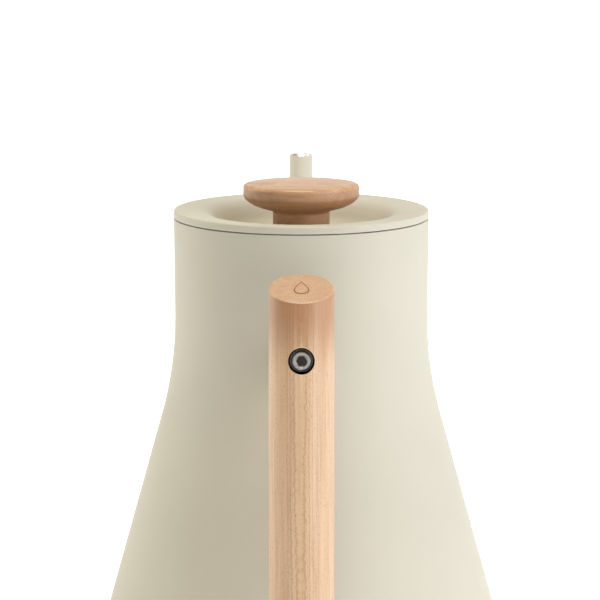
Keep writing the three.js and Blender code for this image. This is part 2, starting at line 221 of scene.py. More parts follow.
def carve(piece, cutters, operation="DIFFERENCE", sharp=32):
    """Cuts solids, given as (points, faces), out of a piece, or joins them to it."""
    for verts, faces in cutters:
        tool = make_piece("cutter", verts, faces, None, piece.data.materials[0])
        modifier = piece.modifiers.new("cut", "BOOLEAN")
        modifier.object = tool
        modifier.operation = operation
        modifier.solver = "EXACT"
        depsgraph = bpy.context.evaluated_depsgraph_get()
        result = bpy.data.meshes.new_from_object(piece.evaluated_get(depsgraph))
        before = piece.data
        tool_mesh = tool.data
        piece.modifiers.clear()
        piece.data = result
        result.name = piece.name
        bpy.data.meshes.remove(before)
        bpy.data.objects.remove(tool)
        bpy.data.meshes.remove(tool_mesh)
    finish_shading(piece, sharp)


def plug(radius, low, high, sides=64, to_place=None, break_edge=0.0, top=0.0):
    """A cutter: a plain cylinder about Z, wider by break_edge at height top and above it."""
    outline = [(0, low), (radius, low), (radius, high), (0, high)]
    if break_edge:
        outline = [(0, low), (radius, low), (radius, top - break_edge), (radius + break_edge, top)]
        outline += [(radius + break_edge, high), (0, high)]
    return turned(outline, sides, to_place)


def paint_inside(piece, place, radius, high, low=-1000.0):
    """Gives a piece's second material to the faces that lie wholly within a cylinder about Z of a frame."""
    to_frame = place.inverted()
    points = [to_frame @ (v.co / MM) for v in piece.data.vertices]
    within = [math.hypot(p.x, p.y) < radius and low < p.z < high for p in points]
    for face in piece.data.polygons:
        if all(within[i] for i in face.vertices):
            face.material_index = 1


# ---------------------------------------------------------------- material kit
PER_MM = (1000, 1000, 1000)  # turns metres on the object into millimetres
SKIN_DEPTH = 0.00006


class Nodes:
    """A material's node tree, with short calls for the nodes that are used here."""

    def __init__(self, name):
        self.material = bpy.data.materials.new(name)
        self.material.use_nodes = True
        self.tree = self.material.node_tree
        self.shader = self.tree.nodes["Principled BSDF"]
        self.place = self.add("ShaderNodeTexCoord").outputs["Object"]

    def add(self, kind, **settings):
        node = self.tree.nodes.new(kind)
        for key, value in settings.items():
            setattr(node, key, value)
        return node

    def link(self, source, socket):
        self.tree.links.new(source, socket)

    def put(self, socket, value):
        if isinstance(value, bpy.types.NodeSocket):
            self.link(value, socket)
        else:
            socket.default_value = value

    def mapped(self, vector, scale=(1, 1, 1), turn=(0, 0, 0), move=(0, 0, 0)):
        node = self.add("ShaderNodeMapping")
        self.link(vector, node.inputs["Vector"])
        node.inputs["Scale"].default_value = scale
        node.inputs["Rotation"].default_value = turn
        node.inputs["Location"].default_value = move
        return node.outputs["Vector"]

    def noise(self, vector, scale=1.0, detail=2.0, roughness=0.5):
        node = self.add("ShaderNodeTexNoise")
        self.link(vector, node.inputs["Vector"])
        node.inputs["Scale"].default_value = scale
        node.inputs["Detail"].default_value = detail
        node.inputs["Roughness"].default_value = roughness
        return node.outputs["Fac"]

    def math(self, operation, a, b=0.0, c=0.0):
        node = self.add("ShaderNodeMath", operation=operation)
        for socket, value in zip(node.inputs, (a, b, c)):
            self.put(socket, value)
        return node.outputs[0]

    def span(self, value, low, high, to_low=0.0, to_high=1.0, smooth=False):
        node = self.add("ShaderNodeMapRange", clamp=True)
        node.interpolation_type = "SMOOTHSTEP" if smooth else "LINEAR"
        self.put(node.inputs["Value"], value)
        for key, number in (("From Min", low), ("From Max", high), ("To Min", to_low), ("To Max", to_high)):
            self.put(node.inputs[key], number)
        return node.outputs["Result"]

    def mix(self, share, a, b):
        node = self.add("ShaderNodeMix", data_type="RGBA")
        self.put(node.inputs[0], share)
        self.put(node.inputs[6], a)
        self.put(node.inputs[7], b)
        return node.outputs[2]

    def split(self, vector):
        node = self.add("ShaderNodeSeparateXYZ")
        self.link(vector, node.inputs[0])
        return node.outputs

    def join(self, x, y, z):
        node = self.add("ShaderNodeCombineXYZ")
        for socket, value in zip(node.inputs, (x, y, z)):
            self.put(socket, value)
        return node.outputs[0]

    def bump(self, height, distance, strength=0.6):
        node = self.add("ShaderNodeBump")
        self.put(node.inputs["Height"], height)
        node.inputs["Distance"].default_value = distance
        node.inputs["Strength"].default_value = strength
        return node.outputs["Normal"]

    def from_axis(self, x, y):
        """The distance from the Z axis."""
        return self.math("SQRT", self.math("ADD", self.math("MULTIPLY", x, x), self.math("MULTIPLY", y, y)))

    def edges(self, low=0.53, high=0.62):
        """1 on the narrow convex edges, 0 elsewhere."""
        return self.span(self.add("ShaderNodeNewGeometry").outputs["Pointiness"], low, high)

    def set(self, **values):
        for key, value in values.items():
            self.put(self.shader.inputs[key.replace("_", " ")], value)


def srgb(red, green, blue):
    """An 8-bit sRGB colour as the linear colour that a shader takes."""
    def linear(c):
        c /= 255
        return c / 12.92 if c <= 0.04045 else ((c + 0.055) / 1.055) ** 2.4
    return (linear(red), linear(green), linear(blue), 1.0)


def shade(colour, share):
    """A colour made darker or lighter by a factor."""
    return [min(1, c * share) for c in colour[:3]] + [1]


def paint_material(name, colour, rubbed_edge_and_highlight):
    """Fine matte powder coat: a soft orange-peel skin, an uneven tone and convex edges painted lighter,
    partly as rubbing and partly as a painted highlight.
    """
    n = Nodes(name)
    mm = n.mapped(n.place, scale=PER_MM)
    cloud = n.noise(mm, 0.018, 3)
    peel = n.noise(mm, 0.75, 2, 0.45)
    grit = n.noise(mm, 4.5, 2, 0.6)
    tone = n.mix(n.span(cloud, 0.3, 0.7), shade(colour, 0.965), shade(colour, 1.02))
    tone = n.mix(n.span(grit, 0.35, 0.75, 0, 0.10), tone, shade(colour, 0.80))
    patchy = n.span(n.noise(mm, 0.3, 3), 0.35, 0.7, 0.35, 0.75)
    # Convex edges painted lighter in patches: partly rubbed paint, partly a painted highlight along the
    # rims.
    tone = n.mix(n.math("MULTIPLY", n.edges(0.53, 0.60), patchy), tone, rubbed_edge_and_highlight)
    rough = n.span(grit, 0.3, 0.7, 0.50, 0.60)
    height = n.math("ADD", n.math("MULTIPLY", peel, 0.7), n.math("MULTIPLY", grit, 0.3))
    n.set(Base_Color=tone, Roughness=rough, Normal=n.bump(height, SKIN_DEPTH))
    n.shader.inputs["Specular IOR Level"].default_value = 0.15
    return n.material


class Grain:
    """The figure of solid wood in three dimensions, in grain space: millimetres, with Z along the fibres
    and the pith on the Z axis."""

    def __init__(self, n, to_grain, seed):
        move, turn = to_grain
        self.n = n
        self.seed = seed
        self.up = n.add("ShaderNodeTexCoord").outputs["Normal"]
        self.place = n.mapped(n.place, scale=PER_MM, turn=turn, move=move)
        self.x, self.y, self.z = n.split(self.place)
        self.end_on = n.math("ABSOLUTE", n.split(n.mapped(self.up, turn=turn))[2])

    def stretched(self, per_mm, detail, rough, offset):
        """Noise with its own number of waves per millimetre in X, Y and Z."""
        n = self.n
        axes = zip((self.x, self.y, self.z), per_mm)
        place = n.join(*(n.math("MULTIPLY_ADD", axis, k, self.seed + offset) for axis, k in axes))
        return n.noise(place, 1, detail, rough)

    def late_wood(self, ring, wave, beat):
        """The dark, thin and broken lines of the growth rings."""
        n = self.n
        radius = n.from_axis(self.x, self.y)
        swell = self.stretched((0.03, 0.03, 0.006), 2, 0.5, 0.0)
        radius = n.math("ADD", radius, n.math("MULTIPLY", swell, 2.5))
        ripple = self.stretched((beat * 0.45, beat * 0.25, beat), 2, 0.6, 11.0)
        radius = n.math("ADD", radius, n.math("MULTIPLY", ripple, wave * 4))
        uneven = n.noise(n.join(n.math("MULTIPLY", radius, 0.6), self.seed, 0.0), 1, 2)
        years = n.math("MULTIPLY_ADD", uneven, 1.6, n.math("DIVIDE", radius, ring))
        saw = n.math("FRACT", years)
        rise = n.span(saw, 0.50, 0.82, smooth=True)
        late = n.math("MULTIPLY", rise, n.span(saw, 0.86, 1.0, 1, 0, smooth=True))
        each_year = n.noise(n.join(n.math("FLOOR", years), self.seed + 3.7, 0.0), 1.7, 0)
        late = n.math("MULTIPLY", late, n.span(each_year, 0.3, 0.7, 0.25, 1.0))
        broken = self.stretched((1.6, 0.8, 1.3), 1, 0.5, 7.7)
        return n.math("MULTIPLY", late, n.span(broken, 0.38, 0.58, 0.35, 1))


def wood_material(
    name, to_grain, pale, warm, line, ring=0.5, wave=0.12, beat=0.33, figure=1.0,
    shade_band=(0.0, 1.0, 0.0), underside_shade=0.0, seed=0.0,
):
    """Oiled wood: growth rings, fine fibres and the short flecks of the rays. to_grain moves and turns
    millimetres on the object into grain space. wave is the rings' waviness in millimetres, and beat its
    waves per millimetre. Between the first two numbers of shade_band, along the fibres, the side grain is
    painted browner by the third: painted shade. underside_shade is how much browner the faces turned
    downwards are painted: painted shade."""
    n = Nodes(name)
    grain = Grain(n, to_grain, seed)
    late = grain.late_wood(ring, wave, beat)
    fibre = grain.stretched((1.3, 1.3, 0.035), 4, 0.7, 1.3)
    streak = grain.stretched((0.35, 0.35, 0.01), 2, 0.5, 2.9)
    ray = n.span(grain.stretched((2.2, 0.25, 0.95), 1, 0.5, 5.1), 0.60, 0.74)

    tone = n.mix(n.span(streak, 0.3, 0.7), pale, warm)
    # Painted shade: the side grain is darkened along a band of the fibres.
    height_along = n.math("ADD", grain.z, n.math("MULTIPLY_ADD", streak, 14.0, -7.0))
    side = n.span(grain.end_on, 0.3, 0.6, 1, 0)
    painted_shade = n.math("MULTIPLY", n.span(height_along, shade_band[0], shade_band[1], 0, shade_band[2], smooth=True), side)
    tone = n.mix(painted_shade, tone, n.mix(0.74, warm, line))
    # Painted shade: faces turned downwards are darkened towards the line colour.
    if underside_shade:
        tone = n.mix(n.span(n.split(grain.up)[2], -0.5, 0.35, underside_shade, 0, smooth=True), tone, line)
    tone = n.mix(n.math("MULTIPLY", late, 0.42 * figure), tone, line)
    tone = n.mix(n.span(fibre, 0.42, 0.75, 0, 0.34), tone, line)
    tone = n.mix(n.math("MULTIPLY", ray, 0.25 * figure), tone, line)
    # End grain drinks more oil, so it is a little darker, with open pores.
    pores = n.noise(grain.place, 3.4, 2, 0.7)
    end_tone = n.mix(n.span(pores, 0.35, 0.75, 0.05, 0.45), tone, line)
    tone = n.mix(n.math("MULTIPLY", n.span(grain.end_on, 0.55, 0.95), 0.5), tone, end_tone)
    # Convex edges painted lighter: a painted highlight along the chamfers and rims.
    tone = n.mix(n.math("MULTIPLY", n.edges(0.53, 0.64), 0.35), tone, shade(pale, 1.2))
    height = n.math("ADD", n.math("MULTIPLY", fibre, -0.6), n.math("MULTIPLY", ray, -0.3))
    n.set(Base_Color=tone, Roughness=n.span(fibre, 0.3, 0.7, 0.40, 0.52), Normal=n.bump(height, SKIN_DEPTH))
    n.shader.inputs["Coat Weight"].default_value = 0.08
    n.shader.inputs["Coat Roughness"].default_value = 0.35
    return n.material


def metal_material(name, colour, rough=0.3, lines="turned", spacing=5.0, depth=0.00002):
    """Bare metal with fine turning lines about Z, or drawn lines along Z, and a faint smoky unevenness."""
    n = Nodes(name)
    mm = n.mapped(n.place, scale=PER_MM)
    x, y, z = n.split(mm)
    if lines == "turned":
        across = n.join(n.math("MULTIPLY", n.from_axis(x, y), spacing), n.math("MULTIPLY", z, spacing), 0.0)
    else:
        x_lines, y_lines = n.math("MULTIPLY", x, spacing), n.math("MULTIPLY", y, spacing)
        across = n.join(x_lines, y_lines, n.math("MULTIPLY", z, 0.1))
    scratch = n.noise(across, 1, 3, 0.65)
    smoke = n.noise(mm, 0.06, 3)
    tone = n.mix(n.span(smoke, 0.3, 0.7), shade(colour, 0.86), colour)
    tone = n.mix(n.span(scratch, 0.4, 0.8, 0, 0.25), tone, shade(colour, 0.6))
    # Convex edges painted lighter: a painted highlight.
    tone = n.mix(n.math("MULTIPLY", n.edges(0.53, 0.62), 0.5), tone, shade(colour, 1.25))
    roughness = n.span(scratch, 0.3, 0.7, rough * 0.8, rough * 1.25)
    n.set(Base_Color=tone, Roughness=roughness, Metallic=1.0, Normal=n.bump(scratch, depth))
    return n.material


def silicone_material(name, colour):
    n = Nodes(name)
    mm = n.mapped(n.place, scale=PER_MM)
    skin = n.noise(mm, 2.5, 3, 0.6)
    dust = n.noise(mm, 0.12, 3)
    tone = n.mix(n.span(dust, 0.35, 0.7), colour, shade(colour, 1.25))
    # Convex edges painted lighter: a painted highlight.
    tone = n.mix(n.math("MULTIPLY", n.edges(0.53, 0.62), 0.35), tone, shade(colour, 1.5))
    rough = n.span(skin, 0.3, 0.7, 0.5, 0.66)
    n.set(Base_Color=tone, Roughness=rough, Normal=n.bump(skin, 0.00004, 0.5))
    n.shader.inputs["Sheen Weight"].default_value = 0.15
    return n.material


# ---------------------------------------------------------------- materials
PAINT = paint_material("powder_coat_sand", (0.508, 0.476, 0.382, 1), (0.66, 0.62, 0.52, 1))

lean_back = Matrix.Rotation(HANDLE_LEAN, 3, "X")  # from the object's axes to the handle's own
rod_pith = Vector((1.2, 46.0, 0))
along_rod = (rod_pith - lean_back @ BOLT, lean_back.to_euler())
# The rod's side is painted darker from just below the bolt to above it: painted shade.
HANDLE_WOOD = wood_material(
    "oiled_maple", along_rod, (0.612, 0.420, 0.263, 1), (0.560, 0.362, 0.208, 1), (0.31, 0.135, 0.048, 1),
    wave=0.13, figure=1.5, shade_band=(-8.0, 20.0, 0.95), seed=4.2,
)
# Near-black wood for the counterbore's walls: painted shade in the deep recess round the screw head.
SHADED_BORE_WOOD = wood_material(
    "maple_bore_painted_shade", along_rod, (0.05, 0.024, 0.012, 1), (0.035, 0.017, 0.008, 1), (0.012, 0.006, 0.003, 1),
    seed=4.2,
)
knob_turn = Matrix.Rotation(math.radians(90), 3, "Y") @ Matrix.Rotation(math.radians(4), 3, "Z")
knob_pith = Vector((52, 6, 0))
across_knob = (knob_pith - knob_turn @ Vector((0, 0, SEAM_Z)), knob_turn.to_euler())
# The knob's underside is painted darker: painted shade.
KNOB_WOOD = wood_material(
    "oiled_beech", across_knob, (0.590, 0.352, 0.186, 1), (0.485, 0.260, 0.127, 1), (0.22, 0.08, 0.027, 1),
    ring=0.8, wave=0.2, beat=0.2, figure=1.1, underside_shade=0.55, seed=9.1,
)
STEEL = metal_material("satin_stainless", srgb(200, 199, 196))
SPOUT_BORE = metal_material("bright_spout_bore", srgb(238, 237, 233), 0.42, "drawn", 2.0)
BASE_STEEL = metal_material("spun_base_steel", srgb(172, 172, 171), 0.34, spacing=3.0, depth=0.00003)
SCREW_STEEL = metal_material("screw_steel", srgb(196, 190, 182), 0.38, "drawn", 2.0)
# Dark steel for the inside of the hex socket: painted shade in the recess.
SHADED_SOCKET_STEEL = metal_material("socket_steel_painted_shade", srgb(78, 74, 70), 0.3, "drawn", 2.0)
ALUMINIUM = metal_material("rolled_aluminium", srgb(208, 209, 211), 0.42, "drawn", 2.0)
BRASS = metal_material("turned_brass", srgb(206, 170, 96), 0.28, "drawn", 3.0)
SILICONE = silicone_material("warm_grey_silicone", srgb(150, 146, 140))


# ---------------------------------------------------------------- the vessel
def flank_radius(z):
    return NECK_R + (FLARE_CORNER_Z - z) * math.tan(FLARE)


CORNER_Z = PAN_LOW.z + PAN_CORNER_R
CORNER_X = flank_radius(CORNER_Z) - PAN_CORNER_R / math.cos(FLARE)
FLARE_Z = FLARE_CORNER_Z + FLARE_R * math.tan(FLARE / 2)
FLARE_DEG = math.degrees(FLARE)
FLANK_ROWS = 26
NECK_ROWS = 6


def side_radius(z):
    """The vessel's outer radius at a height above its rounded foot."""
    if z >= FLARE_Z:
        return NECK_R
    if z <= FLARE_Z - FLARE_R * math.sin(FLARE):
        return flank_radius(z)
    return NECK_R + FLARE_R - math.sqrt(FLARE_R**2 - (FLARE_Z - z) ** 2)


def outside(point, gap):
    """Whether a point is more than a gap outside the vessel's side."""
    return math.hypot(point.x, point.y) > side_radius(point.z) + gap


def pan_corner(inset):
    return arc(CORNER_X, CORNER_Z, PAN_CORNER_R - inset, -90, FLARE_DEG, 14)


def shell_side(inset):
    """The shell's outline from the weld up to the neck, or that far inside it."""
    r, z = pan_corner(inset)[-1]
    weld = Vector((r - WELD_GAP * math.sin(FLARE), z + WELD_GAP * math.cos(FLARE)))
    curve = arc(NECK_R + FLARE_R, FLARE_Z, FLARE_R + inset, 180 + FLARE_DEG, 180, 26)
    flank = [tuple(weld.lerp(Vector(curve[0]), i / FLANK_ROWS)) for i in range(FLANK_ROWS)]
    return flank + curve


def spout_root_place():
    """From a frame whose Z leaves the flank squarely at the spout's root."""
    turn = Matrix.Rotation(-(math.pi / 2 - FLARE), 4, "X")
    return Matrix.Translation((0, flank_radius(SPOUT_ROOT_Z), SPOUT_ROOT_Z)) @ turn


def build_shell():
    top, lip = SHELL_HIGH.z, 0.45
    rim = arc(NECK_R - lip, top - lip, lip, 0, 90, 5)
    rim += arc(NECK_R - WALL + lip, top - lip, lip, 90, 180, 5)
    stops = [FLARE_Z + (top - lip - FLARE_Z) * i / NECK_ROWS for i in range(1, NECK_ROWS)]
    outline = [*shell_side(0), *((NECK_R, z) for z in stops), *rim]
    outline += [*((NECK_R - WALL, z) for z in reversed(stops)), *reversed(shell_side(WALL))]
    shell = turned_piece("vessel_shell", outline, "kettle", PAINT, ["body_shell"], 192)
    carve(shell, [plug(SPOUT_ROOT_R - WALL, -20, 20, 64, spout_root_place())])


def build_base():
    low, middle = PAN_LOW.z, CORNER_X * 0.5
    outline = [(0, low), (middle, low), *pan_corner(0), *reversed(pan_corner(WALL))]
    outline += [(middle, low + WALL), (0, low + WALL)]
    turned_piece("vessel_pan", outline, "kettle", PAINT, ["base_pan"], 192)

    # The cap's underside has a shallow ring pressed into it.
    r, top, sheet, step = CAP_HIGH.x, CAP_HIGH.z, 1.0, 0.35
    cap = rounded([
        (0, 0, 0), (14, 0, 0), (14.6, step, 0.2), (20, step, 0.2), (20.6, 0, 0.2), (r - 3, 0, 0.2),
        (r, 1.6, 1.8), (r, top, 0.25), (r - sheet, top, 0.25), (r - sheet, sheet, 0.3), (0, sheet, 0),
    ], closed=False)
    turned_piece("sealed_base_cap", cap, "kettle", BASE_STEEL, ["base_cap"], 160)


def build_mouth_ledge():
    low, high, outer, width = RING_LOW.z, RING_HIGH.z, RING_HIGH.x, 3.2
    ledge = rounded([
        (outer - width, low, 0.3), (outer, low, 1.1), (outer, high, 0.35), (outer - 1, high, 0.35),
        (outer - 1, low + 1, 0.5), (outer - width, low + 1, 0.35),
    ])
    turned_piece("mouth_ledge", ledge, "kettle", STEEL, ["neck_ring"], 160)


def search(low, high, passed):
    """The place between low and high from which a test holds."""
    for _ in range(40):
        middle = (low + high) / 2
        if passed(middle):
            high = middle
        else:
            low = middle
    return high


# ---------------------------------------------------------------- the spout
def rounded_line(corners, bends, steps=16):
    """A line through corners in the plane X = 0, with each inner corner rounded by a bend."""
    points = [corners[0]]
    for before, corner, after, radius in zip(corners, corners[1:], corners[2:], bends):
        back = (before - corner).normalized()
        on = (after - corner).normalized()
        half = back.angle(on) / 2
        centre = corner + (back + on).normalized() * radius / math.sin(half)
        start = corner + back * radius / math.tan(half) - centre
        stop = corner + on * radius / math.tan(half) - centre
        turn = start.angle_signed(stop)
        points += [Matrix.Rotation(-turn * i / steps, 2) @ start + centre for i in range(steps + 1)]
    return points + [corners[-1]]


class SpoutLine:
    """The spout's centre line in Y and Z, by the share of its length."""

    def __init__(self):
        out = Vector((math.cos(FLARE), math.sin(FLARE)))
        root = Vector((flank_radius(SPOUT_ROOT_Z), SPOUT_ROOT_Z))
        tip = Vector(SPOUT_TIP)
        low = root + out * ((SPOUT_RISE[0] - root.x) / out.x)
        high = Vector((SPOUT_RISE[1], tip.y - (tip.x - SPOUT_RISE[1])))
        corners = [root - out * 6, low, high, tip + Vector((12, 12))]
        self.points = rounded_line(corners, SPOUT_BENDS)
        self.marks = [0.0]
        for a, b in zip(self.points, self.points[1:]):
            self.marks.append(self.marks[-1] + (b - a).length)

    def at(self, share):
        goal = min(max(share, 0.0), 1.0) * self.marks[-1]
        i = next(k for k in range(1, len(self.marks)) if goal <= self.marks[k] + 1e-9)
        a, b = self.points[i - 1], self.points[i]
        t = (goal - self.marks[i - 1]) / (self.marks[i] - self.marks[i - 1])
        return a.lerp(b, t), self.tangent(i - 1).lerp(self.tangent(i), t).normalized()

    def tangent(self, i):
        a = self.points[max(i - 1, 0)]
        b = self.points[min(i + 1, len(self.points) - 1)]
        return (b - a).normalized()

    def radius(self, share):
        return SPOUT_TIP_R + (SPOUT_ROOT_R - SPOUT_TIP_R) * (1 - share) ** 2

    def point(self, share, angle, inset=0.0):
        """A point on the tube's skin, or that far inside it."""
        centre, along = self.at(share)
        r = self.radius(share) - inset
        side, out = r * math.cos(angle), r * math.sin(angle)
        return Vector((side, centre.x + out * along.y, centre.y - out * along.x))

    def skin(self, inset, sides, steps):
        """Rings of points from the vessel's side to the level cut at the tip."""
        lines = []
        for i in range(sides):
            a = 2 * math.pi * i / sides
            start = search(0.0, 1.0, lambda share: outside(self.point(share, a, inset), 0.1))
            stop = search(0.0, 1.0, lambda share: self.point(share, a, inset).z > SPOUT_HIGH.z)
            shares = [start + (stop - start) * (k / steps) for k in range(steps + 1)]
            lines.append([self.point(share, a, inset) for share in shares])
        return [list(ring) for ring in zip(*lines)]


def build_spout():
    sides, steps, lip = 72, 110, 0.42
    line = SpoutLine()
    outer, inner = line.skin(0.0, sides, steps), line.skin(WALL, sides, steps)
    for rings in (outer, inner):
        pairs = zip(rings[-1], rings[-2])
        rings[-1] = [a.lerp(b, min(1, lip / max((b - a).length, 1e-6))) for a, b in pairs]
    edge = []
    for t in (0.15, 0.5, 0.85):
        rise = Vector((0, 0, lip * math.sin(math.pi * t) * 0.55))
        edge.append([a.lerp(b, t) + rise for a, b in zip(outer[-1], inner[-1])])
    rings = outer + edge + inner[::-1]
    verts = [point for ring in rings for point in ring]
    faces = grid_faces(len(rings), sides, True)
    tube = make_piece("spout_gooseneck", verts, faces, "kettle", PAINT, ["spout_tube"], 40)
    tube.data.materials.append(SPOUT_BORE)
    for face in tube.data.polygons:
        if face.index // sides >= len(outer) + len(edge):
            face.material_index = 1


def build_spout_collar():
    """A flared collar that follows the flank at its foot and is nearly square to the tube at its top."""
    sides, height = 72, 7.0
    foot = SPOUT_ROOT_R + 3.4
    sweep = [(foot - 0.7, 1.3), (foot - 2.0, 2.2), (SPOUT_ROOT_R + 0.75, 4.2), (SPOUT_ROOT_R + 0.3, 6.8)]
    inner = SPOUT_ROOT_R - 0.15
    profile = [(foot, 0.0), (foot, 0.7), *arc(foot - 0.5, 0.8, 0.5, 0, 70, 4)]
    profile += [tuple(p) for p in smooth_line(sweep, 6)]
    profile += [(SPOUT_ROOT_R + 0.12, height), (inner, 6.9), (inner, 0.0)]
    place = spout_root_place()
    verts = []
    for r, lift in profile:
        follow = 1 - min(lift / height, 1) * 0.9
        for base in ring_of(r, sides):
            on_flank = search(-12.0, 12.0, lambda h: outside(place @ (base + Vector((0, 0, h))), 0))
            verts.append(place @ (base + Vector((0, 0, on_flank * follow + lift + 0.05))))
    faces = grid_faces(len(profile), sides, True)
    make_piece("spout_weld_collar", verts, faces, "kettle", PAINT, ["spout_collar"], 40)


# ---------------------------------------------------------------- the handle
HANDLE_PLACE = Matrix.Translation(BOLT) @ Matrix.Rotation(-HANDLE_LEAN, 4, "X")  # Z runs up the rod
BOLT_PLACE = HANDLE_PLACE @ Matrix.Rotation(-math.pi / 2, 4, "X")  # Z runs towards the vessel
BORE_SEAT = BORE_DEPTH - HANDLE_R  # along the bolt, as are the two below
BORE_MOUTH = -HANDLE_R
WASHER_BACK = BORE_SEAT - 1.1
CUT_SLOPE = math.tan(HANDLE_CUT)


def rod_rows(sides):
    """Rings of points from the rod's flat foot to its slanted top, both with small round edges."""
    foot_edge, top_edge = 1.0, 0.75
    low, high = 4 - HANDLE_BELOW, HANDLE_ABOVE - HANDLE_R * CUT_SLOPE - 4

    def top_row(radius, drop):
        return [p + Vector((0, 0, HANDLE_ABOVE + p.y * CUT_SLOPE - drop)) for p in ring_of(radius, sides)]

    foot = [(4.0, 0.0), (HANDLE_R * 0.7, 0.0), *arc(HANDLE_R - foot_edge, foot_edge, foot_edge, -90, 0, 6)]
    rows = [ring_of(radius, sides, z - HANDLE_BELOW) for radius, z in foot]
    rows += [ring_of(HANDLE_R, sides, low + (high - low) * i / 12) for i in range(13)]
    straight, slanted = ring_of(HANDLE_R, sides, high), top_row(HANDLE_R, top_edge * 1.6)
    rows += [[a.lerp(b, t) for a, b in zip(straight, slanted)] for t in (0.35, 0.7)]
    for step in range(5):
        a = math.pi / 2 * step / 4
        rows.append(top_row(HANDLE_R - top_edge * (1 - math.cos(a)), top_edge * (1 - math.sin(a))))
    return rows + [top_row(HANDLE_R * share, 0) for share in (0.8, 0.55, 0.3)]


def build_rod():
    sides = 128
    rows = rod_rows(sides)
    verts = [v for row in rows for v in row]
    faces = grid_faces(len(rows), sides, False)
    for z, first in ((-HANDLE_BELOW, 0), (HANDLE_ABOVE, (len(rows) - 1) * sides)):
        faces += [(len(verts), first + i, first + (i + 1) % sides) for i in range(sides)]
        verts.append(Vector((0, 0, z)))
    verts = [HANDLE_PLACE @ v for v in verts]
    rod = make_piece(
        "handle_wood_rod", verts, faces, "kettle", HANDLE_WOOD, ["handle_rod"], 28
    )
    corner, rim = 0.15, 0.45
    bore = [(0, BORE_SEAT), (BORE_R - corner, BORE_SEAT), (BORE_R, BORE_SEAT - corner)]
    bore += [(BORE_R, BORE_MOUTH + rim), (BORE_R + rim, BORE_MOUTH)]
    bore += [(BORE_R + rim, BORE_MOUTH - 6), (0, BORE_MOUTH - 6)]
    shank_hole = plug(2.8, BORE_SEAT - 1, HANDLE_R + 4, 48, BOLT_PLACE)
    carve(rod, [turned(bore, 96, BOLT_PLACE), shank_hole], sharp=28)
    # The counterbore's walls take the near-black wood: painted shade.
    rod.data.materials.append(SHADED_BORE_WOOD)
    paint_inside(rod, BOLT_PLACE, BORE_R + 0.05, 0)


def build_screw():
    """The washer and the M5 socket screw, deep in the counterbore."""
    back, front = WASHER_BACK, BORE_SEAT - 0.1
    washer = rounded([(2.9, back, 0.15), (5.0, back, 0.3), (5.0, front, 0.2), (2.9, front, 0.1)])
    turned_piece(
        "handle_screw_washer", washer, "kettle", SCREW_STEEL, ["handle_washer"], 72, BOLT_PLACE
    )
    head_r, head_height, shank_r, shank = 4.25, 5.0, 2.5, 34.0
    head = WASHER_BACK - 0.1
    face = head - head_height
    outline = rounded([
        (0, face, 0), (head_r - 0.6, face, 0.25), (head_r, face + 0.6, 0.3), (head_r, head, 0.25),
        (shank_r, head, 0.2), (shank_r, head + shank - 0.5, 0.1), (2.1, head + shank, 0.1),
        (0, head + shank, 0),
    ], closed=False)
    screw = turned_piece(
        "handle_socket_screw", outline, "kettle", SCREW_STEEL, ["handle_screw"], 96, BOLT_PLACE
    )
    key_width = 4.0
    socket_r = key_width / math.sqrt(3)
    socket = [(0, face + 3.4), (socket_r, face + 2.6), (socket_r, face - 1), (0, face - 1)]
    cone = [(0, face + 0.6), (socket_r - 0.3, face + 0.6), (socket_r + 0.4, face - 0.1), (0, face - 0.1)]
    groove = [(3.25, face - 0.2), (3.3, face + 0.12), (3.5, face + 0.12), (3.55, face - 0.2)]
    cutters = [turned(shape, sides, BOLT_PLACE) for shape, sides in ((socket, 6), (cone, 64), (groove, 64))]
    carve(screw, cutters, sharp=30)
    # The socket's inner faces take the dark steel: painted shade.
    screw.data.materials.append(SHADED_SOCKET_STEEL)
    paint_inside(screw, BOLT_PLACE, socket_r + 0.05, face + 3.5, face + 0.3)


def build_arm():
    """A painted tube, coped to the rod at one end and run into the neck with a small weld at the other."""
    sides, weld, span = 96, 2.2, 14

    def row(radius, end_drop=None, share=None):
        points = []
        for around in ring_of(radius, sides):
            x, z = around.x, around.y
            start = math.sqrt((HANDLE_R + 0.06) ** 2 - x * x)
            stop = search(-70.0, -HANDLE_R, lambda y: outside(HANDLE_PLACE @ Vector((x, -y, z)), 0.05))
            y = -stop - end_drop if end_drop is not None else start + (-stop - weld - start) * share
            points.append(HANDLE_PLACE @ Vector((x, y, z)))
        return points

    inner = ARM_R - ARM_WALL
    rows = [row(ARM_R - 0.35, share=0.0), row(ARM_R - 0.08, share=0.006)]
    rows += [row(ARM_R, share=i / span) for i in range(1, span + 1)]
    for step in range(1, 6):
        a = math.radians(90 * step / 5)
        rows.append(row(ARM_R + weld * (1 - math.cos(a)) * 0.8, end_drop=weld * (1 - math.sin(a))))
    rows += [row(inner, end_drop=0.0), row(inner, share=0.5), row(inner, share=0.0)]
    verts = [v for points in rows for v in points]
    faces = grid_faces(len(rows), sides, True)
    make_piece("handle_painted_arm", verts, faces, "kettle", PAINT, ["handle_arm"], 40)


